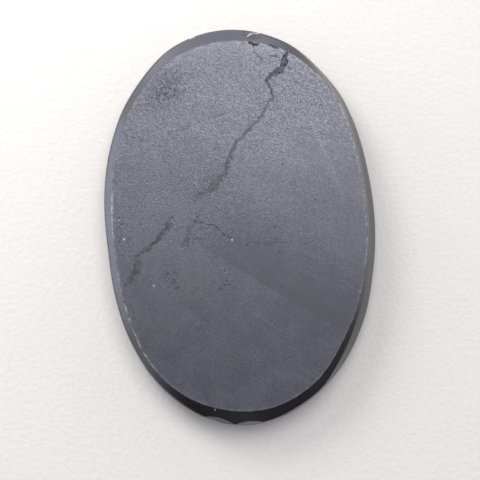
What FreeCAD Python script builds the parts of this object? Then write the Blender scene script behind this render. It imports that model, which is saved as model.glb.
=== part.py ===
import FreeCAD, Part
import Sketcher
import math
import os
from dataclasses import dataclass

# Oval massage stone: a sawn, honed slab with a hand-ground bevel on each face,
# crossed by a mineral vein. Millimetres, +Z up, +Y along the length. The origin
# is on the base face, under the middle of the stone. North is +Y, east is +X.

SIZES = (
    ("overall_length", 88.8, "length over the girdle, the stone's widest line"),
    ("overall_width", 60.5, "width over the girdle"),
    ("overall_thickness", 10.0, "base face to top face"),
    ("girdle_height", 4.8, "girdle above the base face"),
    ("girdle_shoulder_north_east", 3.45, "half width less the end's radius, at the girdle"),
    ("girdle_shoulder_north_west", 3.75, "the same, north-west"),
    ("girdle_shoulder_south_west", 3.75, "the same, south-west"),
    ("girdle_shoulder_south_east", 5.7, "the same, south-east"),
    ("crown_depth", 1.8, "fall of the crown bevel below the top face"),
    ("crown_inset_east", 2.2, "top face inside the girdle, in plan"),
    ("crown_inset_north", 3.45, "the same, north"),
    ("crown_inset_west", 2.15, "the same, west"),
    ("crown_inset_south", 3.8, "the same, south"),
    ("crown_shoulder_north_east", 2.0, "half width less the end's radius, at the top face"),
    ("crown_shoulder_north_west", 2.8, "the same, north-west"),
    ("crown_shoulder_south_west", 2.4, "the same, south-west"),
    ("crown_shoulder_south_east", 6.4, "the same, south-east"),
    ("foot_inset_east", 1.55, "crown bevel's foot inside the girdle, in plan"),
    ("foot_inset_north", 0.9, "the same, north"),
    ("foot_inset_west", 0.35, "the same, west"),
    ("foot_inset_south", 1.1, "the same, south"),
    ("foot_shoulder_south_east", 6.9, "the foot's shoulder over the steep south-east facet"),
    ("arris_wear", 0.15, "worn flat along the edge of each face"),
    ("wall_draft", 0.35, "wall's lean inward from the girdle to the base bevel"),
    ("base_bevel_width", 1.9, "base bevel in plan, from the foot of the wall"),
    ("base_bevel_depth", 1.8, "height of the base bevel"),
    ("vein_depth", 0.8, "depth of the channel that a vein fills"),
    ("vein_recess", 0.1, "vein's surface below the honed face"),
    ("north_chip_radius", 4.5, "curve of the flake scar on the north crown bevel"),
    ("north_chip_east", 6.1, "middle of the scar, east of the stone's middle"),
    ("north_chip_beyond", 0.5, "centre of its curve beyond the stone's end"),
    ("north_chip_rise", 1.5, "centre of its curve above the top face"),
    ("south_chip_radius", 12.0, "curve of the flake scar on the south wall"),
    ("south_chip_east", -13.7, "middle of the scar, east of the stone's middle"),
    ("south_chip_beyond", 8.8, "centre of its curve beyond the stone's end"),
    ("south_chip_rise", -3.5, "centre of its curve above the top face"),
)

COMPASS = ("east", "north", "west", "south")
QUADRANTS = ("north_east", "north_west", "south_west", "south_east")

# Each vein is a list of stations along its middle: east and north places, as
# percentages of the half width and half length so that a vein keeps its place on
# the face when the stone's size changes, then its width to the left and to the
# right of the middle in millimetres, looking along the list.
UPPER_VEIN = (
    (43.0, 84.4, 0.10, 0.12),
    (41.6, 82.6, 0.50, 0.42),
    (40.3, 80.4, 0.52, 0.60),
    (39.6, 77.8, 0.98, 0.50),
    (35.4, 75.6, 0.56, 0.44),
    (28.8, 73.6, 0.36, 0.34),
    (26.6, 71.2, 0.24, 0.32),
    (28.6, 67.6, 0.28, 0.30),
    (29.0, 63.8, 0.36, 0.28),
    (26.6, 59.4, 0.26, 0.36),
    (24.6, 56.6, 0.24, 0.24),
    (19.2, 52.8, 0.28, 0.22),
    (13.6, 49.0, 0.22, 0.30),
    (8.2, 45.4, 0.30, 0.26),
    (2.0, 41.2, 0.28, 0.34),
    (-1.4, 38.6, 0.22, 0.24),
    (-3.6, 35.8, 0.34, 0.26),
    (-5.6, 31.8, 0.26, 0.32),
    (-7.4, 28.0, 0.30, 0.26),
    (-11.2, 24.8, 0.24, 0.24),
    (-16.8, 21.0, 0.22, 0.26),
    (-22.8, 18.6, 0.18, 0.20),
    (-29.4, 16.8, 0.10, 0.10),
)
LOWER_VEIN = (
    (-49.6, 7.5, 0.10, 0.10),
    (-50.6, 4.2, 0.40, 0.30),
    (-52.8, 1.6, 0.34, 0.36),
    (-56.2, -1.4, 0.30, 0.38),
    (-60.2, -3.6, 0.34, 0.30),
    (-65.4, -6.4, 0.36, 0.32),
    (-70.8, -9.0, 0.42, 0.36),
    (-74.6, -11.0, 0.34, 0.44),
    (-76.2, -13.4, 0.36, 0.40),
    (-76.8, -16.4, 0.48, 0.38),
    (-79.4, -19.6, 0.36, 0.46),
    (-82.6, -22.6, 0.28, 0.32),
    (-86.0, -24.6, 0.12, 0.12),
)
BRANCH_VEIN = (
    (-30.0, 5.6, 0.10, 0.10),
    (-33.0, 3.2, 0.22, 0.26),
    (-36.4, 1.2, 0.26, 0.22),
    (-38.0, -1.2, 0.20, 0.26),
    (-39.0, -3.8, 0.24, 0.20),
    (-42.2, -7.6, 0.10, 0.10),
)
VEINS = {"upper_vein": UPPER_VEIN, "lower_vein": LOWER_VEIN, "branch_vein": BRANCH_VEIN}


def cell(alias):
    """Return the expression that reads one size from the sheet."""
    return f"<<Sizes>>.{alias}"


HALF = {
    "east": f"{cell('overall_width')} / 2",
    "north": f"{cell('overall_length')} / 2",
    "west": f"{cell('overall_width')} / 2",
    "south": f"{cell('overall_length')} / 2",
}


@dataclass(frozen=True)
class Ring:
    """A level outline of the stone: all its values are expressions on the sheet."""

    name: str
    height: str
    inset: dict
    shoulder: dict

    def reach(self, compass):
        """Return how far the ring reaches from the middle towards one compass point."""
        return f"{HALF[compass]} - ({self.inset[compass]})"

    def end_radius(self, quadrant):
        """Return the radius of the end arc in one quadrant."""
        side = quadrant.split("_")[1]
        return f"{self.reach(side)} - {self.shoulder[quadrant]}"


def every(names, expression):
    """Give each name the same expression."""
    return {name: expression for name in names}


def stone_rings():
    """Return the rings of the stone, from the base face up to the top face."""
    girdle_shoulder = {q: cell(f"girdle_shoulder_{q}") for q in QUADRANTS}
    crown_shoulder = {q: cell(f"crown_shoulder_{q}") for q in QUADRANTS}
    foot_shoulder = dict(girdle_shoulder, south_east=cell("foot_shoulder_south_east"))
    foot_inset = {c: cell(f"foot_inset_{c}") for c in COMPASS}
    crown_inset = {c: cell(f"crown_inset_{c}") for c in COMPASS}
    worn_inset = {c: f"{crown_inset[c]} + {cell('arris_wear')}" for c in COMPASS}
    base_inset = f"{cell('wall_draft')} + {cell('base_bevel_width')}"
    thickness = cell("overall_thickness")
    wear = cell("arris_wear")
    return (
        Ring("base_face", "0", every(COMPASS, f"{base_inset} + {wear}"), girdle_shoulder),
        Ring("base_arris", wear, every(COMPASS, base_inset), girdle_shoulder),
        Ring("wall_foot", cell("base_bevel_depth"), every(COMPASS, cell("wall_draft")), girdle_shoulder),
        Ring("girdle", cell("girdle_height"), every(COMPASS, "0"), girdle_shoulder),
        Ring("crown_foot", f"{thickness} - {cell('crown_depth')}", foot_inset, foot_shoulder),
        Ring("crown_arris", f"{thickness} - {wear}", crown_inset, crown_shoulder),
        Ring("top_face", thickness, worn_inset, crown_shoulder),
    )


def make_sheet(doc):
    """Write the driving sizes into a spreadsheet, one named row each."""
    sheet = doc.addObject("Spreadsheet::Sheet", "Sizes")
    sheet.Label = "Sizes"
    for row, (alias, size, note) in enumerate(SIZES, start=1):
        sheet.set(f"A{row}", alias)
        sheet.set(f"B{row}", str(size))
        sheet.set(f"C{row}", note)
        sheet.setAlias(f"B{row}", alias)
    doc.recompute()
    return sheet


def number(sheet, expression):
    """Work out an expression on the sheet as a plain number."""
    return float(sheet.evalExpression(expression))


def set_level(body, feature, height):
    """Attach a sketch or solid to its body's base plane, at a height above it."""
    plane = next(item for item in body.Origin.OriginFeatures if item.Role == "XY_Plane")
    feature.AttachmentSupport = [(plane, "")]
    feature.MapMode = "FlatFace"
    feature.setExpression("AttachmentOffset.Base.z", height)


def oval_arcs(reach, radii):
    """Return the eight tangent arcs of an oval, counter-clockwise from due east.

    Each quadrant has a long side arc centred on the X axis and a short end arc
    centred on the Y axis, and the two meet where their centres and joint line up.
    """
    arcs = []
    for index, quadrant in enumerate(QUADRANTS):
        end, side = quadrant.split("_")
        length = reach[end]
        width = reach[side]
        radius = radii[quadrant]
        side_radius = (length**2 + width**2 - 2 * length * radius) / (2 * (width - radius))
        joint = math.atan2(length - radius, side_radius - width)
        north = 1 if end == "north" else -1
        east = 1 if side == "east" else -1
        side_centre = FreeCAD.Vector(east * (width - side_radius), 0, 0)
        end_centre = FreeCAD.Vector(0, north * (length - radius), 0)
        start = index * math.pi / 2
        side_first = index % 2 == 0
        turn = joint if side_first else math.pi / 2 - joint
        pieces = [(side_centre, side_radius), (end_centre, radius)]
        if not side_first:
            pieces.reverse()
        spans = [(start, start + turn), (start + turn, start + math.pi / 2)]
        for (centre, size), (first, last) in zip(pieces, spans):
            circle = Part.Circle(centre, FreeCAD.Vector(0, 0, 1), size)
            arcs.append(Part.ArcOfCircle(circle, first, last))
    return arcs


def constrain_oval(sketch, ring, reach, radii):
    """Fix the oval's arcs: centres on the axes, reaches and end radii from the sheet."""
    x_axis, y_axis, origin = -1, -2, (-1, 1)
    arc_start, arc_end, arc_centre = 1, 2, 3
    for index, compass in enumerate(COMPASS):
        arc = 2 * index
        along = y_axis if compass in ("north", "south") else x_axis
        sketch.addConstraint(Sketcher.Constraint("Coincident", arc, arc_start, (arc - 1) % 8, arc_end))
        sketch.addConstraint(Sketcher.Constraint("PointOnObject", arc, arc_start, along))
        sketch.addConstraint(Sketcher.Constraint("PointOnObject", arc, arc_centre, along))
        sketch.addConstraint(Sketcher.Constraint("PointOnObject", (arc - 1) % 8, arc_centre, along))
        sketch.addConstraint(Sketcher.Constraint("Tangent", arc, arc_end, arc + 1, arc_start))
        kind = "DistanceY" if along == y_axis else "DistanceX"
        points = (*origin, arc, arc_start)
        if compass in ("west", "south"):
            points = (arc, arc_start, *origin)
        row = sketch.addConstraint(Sketcher.Constraint(kind, *points, reach[compass]))
        sketch.renameConstraint(row, f"reach_{compass}")
        sketch.setExpression(f"Constraints.reach_{compass}", ring.reach(compass))
    for index, quadrant in enumerate(QUADRANTS):
        end_arc = 2 * index + 1 if index % 2 == 0 else 2 * index
        row = sketch.addConstraint(Sketcher.Constraint("Radius", end_arc, radii[quadrant]))
        sketch.renameConstraint(row, f"radius_{quadrant}")
        sketch.setExpression(f"Constraints.radius_{quadrant}", ring.end_radius(quadrant))


def ring_sketch(body, sheet, ring):
    """Draw one ring of the stone as a fully constrained oval."""
    reach = {compass: number(sheet, ring.reach(compass)) for compass in COMPASS}
    radii = {quadrant: number(sheet, ring.end_radius(quadrant)) for quadrant in QUADRANTS}
    sketch = body.newObject("Sketcher::SketchObject", ring.name)
    set_level(body, sketch, ring.height)
    sketch.addGeometry(oval_arcs(reach, radii), False)
    constrain_oval(sketch, ring, reach, radii)
    return sketch


def vein_outline(sheet, stations):
    """Return the corners of a vein's outline: down its left side and back up its right."""
    half_width = number(sheet, HALF["east"])
    half_length = number(sheet, HALF["north"])
    middle = [FreeCAD.Vector(east * half_width / 100, north * half_length / 100, 0)
              for east, north, _, _ in stations]
    left_side = []
    right_side = []
    for index, (_, _, left, right) in enumerate(stations):
        before = middle[max(index - 1, 0)]
        after = middle[min(index + 1, len(middle) - 1)]
        along = (after - before).normalize()
        leftward = FreeCAD.Vector(-along.y, along.x, 0)
        left_side.append(middle[index] + leftward * left)
        right_side.append(middle[index] - leftward * right)
    return left_side + right_side[::-1]


def vein_sketch(body, sheet, name, stations, height):
    """Draw a vein's outline as a closed chain of lines at a height."""
    corners = vein_outline(sheet, stations)
    sketch = body.newObject("Sketcher::SketchObject", name)
    set_level(body, sketch, height)
    lines = [Part.LineSegment(corner, corners[(index + 1) % len(corners)])
             for index, corner in enumerate(corners)]
    sketch.addGeometry(lines, False)
    for index in range(len(lines)):
        following = (index + 1) % len(lines)
        sketch.addConstraint(Sketcher.Constraint("Coincident", index, 2, following, 1))
    return sketch


def cut_channel(body, sheet, name, stations):
    """Cut the channel that one vein fills, down from the top face."""
    outline = vein_sketch(body, sheet, f"{name}_outline", stations, cell("overall_thickness"))
    channel = body.newObject("PartDesign::Pocket", f"{name}_channel")
    channel.Profile = outline
    channel.setExpression("Length", cell("vein_depth"))


def cut_chip(body, end):
    """Cut one flake scar, a shallow scoop of a ball, from the rim at one end of the stone."""
    chip = f"{end}_chip"
    scar = body.newObject("PartDesign::SubtractiveSphere", chip)
    set_level(body, scar, f"{cell('overall_thickness')} + {cell(f'{chip}_rise')}")
    scar.setExpression("Radius", cell(f"{chip}_radius"))
    scar.setExpression("AttachmentOffset.Base.x", cell(f"{chip}_east"))
    side = "" if end == "north" else "-"
    reach = f"{side}({HALF[end]} + {cell(f'{chip}_beyond')})"
    scar.setExpression("AttachmentOffset.Base.y", reach)


def make_stone(doc, sheet):
    """Build the stone: a ruled loft through its rings, the veins' channels and the chips."""
    body = doc.addObject("PartDesign::Body", "stone_body")
    body.Label = "stone_body"
    sketches = [ring_sketch(body, sheet, ring) for ring in stone_rings()]
    doc.recompute()
    loft = body.newObject("PartDesign::AdditiveLoft", "ground_slab")
    loft.Profile = sketches[0]
    loft.Sections = sketches[1:]
    loft.Ruled = True
    doc.recompute()
    cuts = [(cut_channel, (sheet, name, stations)) for name, stations in VEINS.items()]
    cuts += [(cut_chip, (end,)) for end in ("north", "south")]
    for cut, details in cuts:
        whole = body.Shape.Volume
        cut(body, *details)
        doc.recompute()
        if body.Shape.Volume >= whole:
            raise RuntimeError(f"{body.Tip.Name} cuts nothing")
    return body


def make_vein(doc, sheet, name, stations):
    """Build one vein: it fills its channel to a little below the honed face."""
    body = doc.addObject("PartDesign::Body", name)
    body.Label = name
    floor = f"{cell('overall_thickness')} - {cell('vein_depth')}"
    outline = vein_sketch(body, sheet, f"{name}_section", stations, floor)
    fill = body.newObject("PartDesign::Pad", f"{name}_fill")
    fill.Profile = outline
    fill.setExpression("Length", f"{cell('vein_depth')} - {cell('vein_recess')}")
    doc.recompute()
    return body


def check(doc, bodies):
    """Stop if any object failed to recompute, or a sub-part has no sound solid."""
    for item in doc.Objects:
        if "Invalid" in item.State or "Error" in item.State:
            raise RuntimeError(f"{item.Name} did not recompute: {item.State}")
    for body in bodies:
        shape = body.Shape
        if shape.isNull() or not shape.isValid() or len(shape.Solids) != 1:
            raise RuntimeError(f"{body.Label} is not one sound solid")


def main():
    """Build the stone and its veins, and write one STEP file for each."""
    doc = FreeCAD.newDocument("massage_stone")
    sheet = make_sheet(doc)
    bodies = [make_stone(doc, sheet)]
    bodies += [make_vein(doc, sheet, name, stations) for name, stations in VEINS.items()]
    doc.recompute()
    check(doc, bodies)
    os.makedirs("parts", exist_ok=True)
    for body in bodies:
        body.Shape.exportStep(os.path.join("parts", f"{body.Label}.step"))
        box = body.Shape.BoundBox
        print(f"{body.Label}: {body.Shape.Volume:.1f} mm3, "
              f"{box.XLength:.2f} x {box.YLength:.2f} x {box.ZLength:.2f} mm")


main()
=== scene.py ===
"""Oval massage stone: a honed dark slab with ground bevels and a filled mineral vein.

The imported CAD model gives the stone's size and the veins' channels. Each piece is
modelled here at the same place, with its worn edges, flake scars, pits, hairline
cracks and finishes. Shapes are worked out in millimetres and made metres at the end.
"""

import logging
import math
from dataclasses import dataclass, field
from enum import Enum
from typing import Iterable

import bmesh
import bpy
import numpy as np
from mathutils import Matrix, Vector, noise


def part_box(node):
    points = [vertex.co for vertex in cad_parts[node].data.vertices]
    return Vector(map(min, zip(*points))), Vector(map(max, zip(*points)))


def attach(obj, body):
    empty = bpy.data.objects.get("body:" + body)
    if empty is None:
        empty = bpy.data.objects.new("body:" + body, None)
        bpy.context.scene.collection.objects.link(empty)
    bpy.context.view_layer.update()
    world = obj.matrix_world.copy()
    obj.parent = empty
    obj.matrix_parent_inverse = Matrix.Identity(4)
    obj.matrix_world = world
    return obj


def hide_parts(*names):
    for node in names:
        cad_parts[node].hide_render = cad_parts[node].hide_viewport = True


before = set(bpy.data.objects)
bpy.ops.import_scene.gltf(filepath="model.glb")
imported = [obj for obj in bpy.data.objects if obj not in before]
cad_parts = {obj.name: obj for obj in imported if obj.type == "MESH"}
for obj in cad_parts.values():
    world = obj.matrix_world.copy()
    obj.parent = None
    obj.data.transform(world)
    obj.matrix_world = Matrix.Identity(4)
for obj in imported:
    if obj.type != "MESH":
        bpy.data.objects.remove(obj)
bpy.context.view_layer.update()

log = logging.getLogger("massage_stone")

MM = 0.001
SHARP_ANGLE = math.radians(28)

# Random patterns: how far one seed lies from the next, in features.
SEED_STEPS = (13.7, 7.3, 3.1)
# Places further than this from a seam's box aren't measured, and count as far away.
NEARBY, FAR_AWAY = 3.0, 1e3
# How far below the top face a point still belongs to it, for cutting and for marking.
CUT_SKIN, MARK_SKIN = 0.02, 0.3
# Marks fainter than this are left out.
TRACE = 0.02
# The middle value of a noise node.
MIDDLE = 0.5

Colour = tuple[float, float, float, float]
Place = tuple[float, float]
FourSizes = tuple[float, float, float, float]
Socket = bpy.types.NodeSocket
Term = float | bpy.types.NodeSocket


def colour(red: float, green: float, blue: float) -> Colour:
    """Return an opaque colour from linear parts."""
    return (red, green, blue, 1.0)


def smooth_step(value: np.ndarray, start: float, end: float) -> np.ndarray:
    """Ease from 0 at start to 1 at end.

    Args:
        value: Numbers to ease.
        start: Where the rise begins.
        end: Where the rise is complete.

    Returns:
        The eased numbers.
    """
    share = np.clip((value - start) / (end - start), 0, 1)
    return share * share * (3 - 2 * share)


def tapered(share: np.ndarray, part: float) -> np.ndarray:
    """Return 1 along a line, easing to 0 over the given part of it at each end."""
    return smooth_step(share, 0, part) * (1 - smooth_step(share, 1 - part, 1))


def wander(places: np.ndarray, grain: float, seed: float) -> np.ndarray:
    """Return smooth random numbers from about -1 to 1, one for each place.

    Args:
        places: Points in millimetres, one row each.
        grain: Size of the random features in millimetres.
        seed: Shifts the pattern, so that two uses differ.

    Returns:
        One number for each place.
    """
    shift = Vector([seed * step for step in SEED_STEPS])
    return np.array([noise.noise(Vector(place) / grain + shift) for place in places], float)


@dataclass(frozen=True)
class Patchiness:
    """How a soft mark breaks up into patches.

    Attributes:
        level: Its usual strength, as a share.
        gain: How much that changes from place to place.
        grain: Size of the patches in millimetres.
        seed: Picks the pattern.
        limits: Least and greatest strength, as shares.
    """

    level: float
    gain: float
    grain: float
    seed: float
    limits: tuple[float, float] = (0.0, 1.0)

    def over(self, marks: np.ndarray, places: np.ndarray) -> np.ndarray:
        """Break marks up into patches.

        Args:
            marks: Strength of the mark at each place.
            places: Points in millimetres.

        Returns:
            The patchy marks, without their faintest parts.
        """
        shown = np.nonzero(marks > TRACE)[0]
        strength = self.level + self.gain * wander(places[shown], self.grain, self.seed)
        patchy = np.zeros(len(marks))
        patchy[shown] = marks[shown] * np.clip(strength, *self.limits)
        return patchy


# ---------------------------------------------------------------- shapes in plan


@dataclass(frozen=True)
class Swell:
    """A stretch of an outline that hand grinding left fuller or leaner.

    Attributes:
        bearing: Middle of the stretch, in degrees anticlockwise from east.
        reach: Degrees to each side over which it fades out.
        height: Millimetres added to the outline at its middle.
    """

    bearing: float
    reach: float
    height: float

    def added(self, bearings: np.ndarray) -> np.ndarray:
        """Return what the swell adds at each bearing, given in radians.

        Args:
            bearings: Directions in radians, anticlockwise from east.

        Returns:
            Millimetres added at each bearing.
        """
        off = np.abs((np.degrees(bearings) - self.bearing + 180) % 360 - 180)
        share = np.clip(off / self.reach, 0, 1)
        return self.height * 0.5 * (1 + np.cos(math.pi * share))


def total(swells: Iterable[Swell], bearings: np.ndarray) -> np.ndarray:
    """Return what all the swells add together at each bearing, given in radians."""
    return sum((swell.added(bearings) for swell in swells), np.zeros_like(bearings))


@dataclass(frozen=True)
class Oval:
    """A level outline of tangent arcs, whose end arcs differ in each quadrant.

    Attributes:
        reach: Distance from the middle to the east, north, west and south, in millimetres.
        shoulders: Half width less the end's radius: north-east, north-west, south-west,
            south-east.
        swells: Departures from the arcs.
    """

    reach: FourSizes
    shoulders: FourSizes
    swells: tuple[Swell, ...] = ()

    def radius(self, bearings: np.ndarray) -> np.ndarray:
        """Return the distance from the middle to the outline.

        Args:
            bearings: Directions in radians, anticlockwise from east.

        Returns:
            One distance in millimetres for each bearing.
        """
        cosine, sine = np.cos(bearings), np.sin(bearings)
        east, north, west, south = self.reach
        eastern, northern = cosine >= 0, sine >= 0
        half_width = np.where(eastern, east, west)
        half_length = np.where(northern, north, south)
        quadrants = [eastern & northern, ~eastern & northern, ~eastern & ~northern]
        shoulder = np.select(quadrants, self.shoulders[:3], self.shoulders[3])
        end = half_width - shoulder
        side = (half_length**2 + half_width**2 - 2 * half_length * end) / (2 * shoulder)
        joint = np.arctan2(half_length - end, side - half_width)
        joint_east = half_width - side + side * np.cos(joint)
        joint_north = side * np.sin(joint)
        along_width, along_length = np.abs(cosine), np.abs(sine)
        on_side = along_length * joint_east <= along_width * joint_north
        centre_east = np.where(on_side, half_width - side, 0)
        centre_north = np.where(on_side, 0, half_length - end)
        arc = np.where(on_side, side, end)
        along = along_width * centre_east + along_length * centre_north
        radius = along + np.sqrt(along**2 - centre_east**2 - centre_north**2 + arc**2)
        return radius + total(self.swells, bearings)


@dataclass(frozen=True)
class Seam:
    """The wandering middle line of a vein or crack on the face.

    Attributes:
        stations: East, north, then the width to the left and to the right, in millimetres.
        jitter: How far the line strays between its stations, in millimetres.
        seed: Picks the stray pattern.
        steps: Points drawn from one station to the next.
        strays: Size of each stray's features, its share of the jitter, and its own seed.
        swelling: How much the widths change along the line, as a share.
        swelling_grain: Size of those changes in millimetres.
        swelling_limits: Least and greatest width, as shares.
    """

    stations: tuple[FourSizes, ...]
    jitter: float = 0.0
    seed: float = 0.0
    steps: int = 8
    strays: tuple[tuple[float, float, float], ...] = ((1.1, 1.0, 0.0), (0.4, 0.5, 3.0))
    swelling: float = 1.5
    swelling_grain: float = 0.6
    swelling_limits: tuple[float, float] = (0.35, 2.0)

    def course(self) -> np.ndarray:
        """Return the line drawn smoothly through its stations, one row for each point.

        Returns:
            East, north and the widths to the left and right, in millimetres.
        """
        rows = np.array(self.stations)
        padded = np.vstack([2 * rows[0] - rows[1], rows, 2 * rows[-1] - rows[-2]])
        drawn = []
        for before, start, end, after in zip(padded, padded[1:], padded[2:], padded[3:]):
            for share in np.arange(self.steps) / self.steps:
                cubic = (-before + 3 * start - 3 * end + after) * share**3
                square = (2 * before - 5 * start + 4 * end - after) * share**2
                drawn.append(0.5 * (2 * start + (end - before) * share + square + cubic))
        drawn.append(rows[-1])
        line = np.array(drawn)
        if self.jitter:
            self.roughen(line)
        return line

    def roughen(self, line: np.ndarray) -> None:
        """Make the drawn line and its widths uneven, in place.

        Args:
            line: What course draws, one row for each point.
        """
        flat = np.column_stack([line[:, :2], np.zeros(len(line))])
        for column, own in ((0, 0), (1, 5)):
            for grain, share, shift in self.strays:
                line[:, column] += share * self.jitter * wander(flat, grain, self.seed + own + shift)
        for column, own in ((2, 9), (3, 12)):
            change = 1 + self.swelling * wander(flat, self.swelling_grain, self.seed + own)
            line[:, column] *= np.clip(change, *self.swelling_limits)

    def beside(self, places: np.ndarray) -> tuple[np.ndarray, np.ndarray]:
        """Measure places against the line.

        Args:
            places: Points in millimetres.

        Returns:
            How far each place lies outside the seam's own width, negative inside it,
            and how far along the line it is, from 0 to 1.
        """
        line = self.course()
        outside = np.full(len(places), FAR_AWAY)
        share = np.zeros(len(places))
        low, high = line[:, :2].min(0) - NEARBY, line[:, :2].max(0) + NEARBY
        near = np.nonzero(np.all((places[:, :2] > low) & (places[:, :2] < high), axis=1))[0]
        points = places[near, :2]
        best = np.full(len(near), FAR_AWAY)
        where = np.zeros(len(near))
        for index in range(len(line) - 1):
            start, end = line[index], line[index + 1]
            run = end[:2] - start[:2]
            offset = points - start[:2]
            along = np.clip(offset @ run / (run @ run), 0, 1)
            away = offset - along[:, None] * run
            left = run[0] * offset[:, 1] - run[1] * offset[:, 0] > 0
            width = np.where(left, start[2] + (end[2] - start[2]) * along,
                             start[3] + (end[3] - start[3]) * along)
            distance = np.hypot(away[:, 0], away[:, 1]) - width
            closer = distance < best
            best[closer] = distance[closer]
            where[closer] = (index + along[closer]) / (len(line) - 1)
        outside[near] = best
        share[near] = where
        return outside, share


def hairline(places: Iterable[Place], half_width: float, seed: float, jitter: float = 0.5) -> Seam:
    """Return a seam of one width through the given places."""
    stations = tuple((east, north, half_width, half_width) for east, north in places)
    return Seam(stations, jitter=jitter, seed=seed, steps=5)


@dataclass(frozen=True)
class Crack:
    """A hairline crack, or a lip painted light as crushed stone with a painted highlight.

    Attributes:
        seam: Where it runs.
        depth: How deep it is, in millimetres.
        stain_and_shade: How dark it is painted, 0 to 1: dust in a crack, and painted shade in the step at the
            north chip's foot.
        bruise_and_highlight: How white it is painted along its length, 0 to 1: crushed stone with a painted
            highlight.
        reach: How far below the top face it runs, in millimetres.
    """

    seam: Seam
    depth: float
    stain_and_shade: float
    bruise_and_highlight: float = 0.0
    reach: float = 0.3

    def cut(self, places: np.ndarray) -> np.ndarray:
        """Return how deep the crack is at each place of the top face."""
        outside, share = self.seam.beside(places)
        return self.depth * tapered(share, 0.12) * (1 - smooth_step(outside, -0.03, 0.1))

    def shown(self, places: np.ndarray, surface: float) -> np.ndarray:
        """Return how clearly the crack's marks show, 0 to 1.

        Args:
            places: Points in millimetres.
            surface: Height of the top face.

        Returns:
            One number for each place.
        """
        outside, share = self.seam.beside(places)
        high = places[:, 2] > surface - self.reach
        return high * tapered(share, 0.15) * (1 - smooth_step(outside, 0, 0.14))


@dataclass(frozen=True)
class Scoop:
    """A ball-shaped bite out of the surface: a pit, a nick or a flake scar.

    Attributes:
        east: Centre of the ball.
        north: Centre of the ball.
        up: Centre of the ball above the base face.
        radius: Radius of the ball.
        bruise_and_highlight: How far it is painted lighter, 0 to 1: crushed stone with painted highlights,
            and a painted reflection of the paper on the wide south scars.
        ragged: Share of the radius by which its surface is uneven.
        dust: How dark the dust in it is, 0 to 1.
    """

    east: float
    north: float
    up: float
    radius: float
    bruise_and_highlight: float = 0.0
    ragged: float = 0.06
    dust: float = 0.0

    def inside(self, places: np.ndarray) -> np.ndarray:
        """Return how deep each place lies inside the ball, in millimetres."""
        centre = np.array([self.east, self.north, self.up])
        return self.radius - np.linalg.norm(places - centre, axis=1)

    def cut(self, places: np.ndarray) -> np.ndarray:
        """Push the places inside the ball out to its surface, in place.

        Args:
            places: Points in millimetres, changed where they are cut.

        Returns:
            Which places were cut.
        """
        centre = np.array([self.east, self.north, self.up])
        bitten = np.nonzero(self.inside(places) > 0)[0]
        rays = places[bitten] - centre
        reach = np.linalg.norm(rays, axis=1, keepdims=True)
        uneven = wander(places[bitten], max(self.radius, 1.0) / 4, self.east)
        wanted = self.radius * (1 + self.ragged * uneven[:, None])
        places[bitten] = centre + rays / reach * np.maximum(wanted, reach)
        return bitten


def pit(east: float, north: float, surface: float, half_width: float, depth: float,
        bruise_and_highlight: float = 0.0) -> Scoop:
    """Return a pit in a level face.

    Args:
        east: Middle of the pit.
        north: Middle of the pit.
        surface: Height of the face.
        half_width: Half of the pit's opening.
        depth: How deep it is.
        bruise_and_highlight: How far it is painted lighter, as crushed stone with a painted highlight.

    Returns:
        The ball that cuts it.
    """
    radius = (half_width**2 + depth**2) / (2 * depth)
    dust = 0.0 if bruise_and_highlight else 0.7
    return Scoop(east, north, surface + radius - depth, radius, bruise_and_highlight, ragged=0.12, dust=dust)


@dataclass(frozen=True)
class Cloud:
    """A soft oval patch of face that is lighter or darker than the rest.

    Attributes:
        east: Middle of the patch.
        north: Middle of the patch.
        length: Half length at which it has mostly faded.
        width: Half width at which it has mostly faded.
        turn: Degrees anticlockwise from east to its length.
        tone: Change of shade at its middle, as a share.
        fall: How fast it fades.
    """

    east: float
    north: float
    length: float
    width: float
    turn: float
    tone: float
    fall: float = 1.5

    def shade(self, places: np.ndarray) -> np.ndarray:
        """Return the change of shade at each place.

        Args:
            places: Points in millimetres, one row each.

        Returns:
            Shares by which the face is lighter.
        """
        turn = math.radians(self.turn)
        east, north = places[:, 0] - self.east, places[:, 1] - self.north
        along = (east * math.cos(turn) + north * math.sin(turn)) / self.length
        across = (north * math.cos(turn) - east * math.sin(turn)) / self.width
        return self.tone * np.exp(-self.fall * (along**2 + across**2))


@dataclass(frozen=True)
class HoningPass:
    """A straight stroke of the grinding stone that left a band of another shade.

    Attributes:
        start: Where the band begins.
        end: Where it ends.
        left: Half width to the left, fading softly.
        right: Half width to the right, ending more crisply.
        tone: Change of shade, as a share.
        crispness: Half width of the right edge's blur.
    """

    start: Place
    end: Place
    left: float
    right: float
    tone: float
    crispness: float = 0.25

    def shade(self, places: np.ndarray) -> np.ndarray:
        """Return the change of shade at each place.

        Args:
            places: Points in millimetres, one row each.

        Returns:
            Shares by which the face is lighter.
        """
        run = np.array(self.end) - np.array(self.start)
        length = float(np.hypot(*run))
        run = run / length
        offset = places[:, :2] - np.array(self.start)
        along = offset @ run
        across = run[0] * offset[:, 1] - run[1] * offset[:, 0]
        crisp = smooth_step(across, -self.right - self.crispness, -self.right + self.crispness)
        soft = 1 - smooth_step(across, 0, self.left)
        ends = smooth_step(along, 0, 0.2 * length) * (1 - smooth_step(along, 0.85 * length, length))
        return self.tone * crisp * soft * ends


# ---------------------------------------------------------------- finishes


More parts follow.
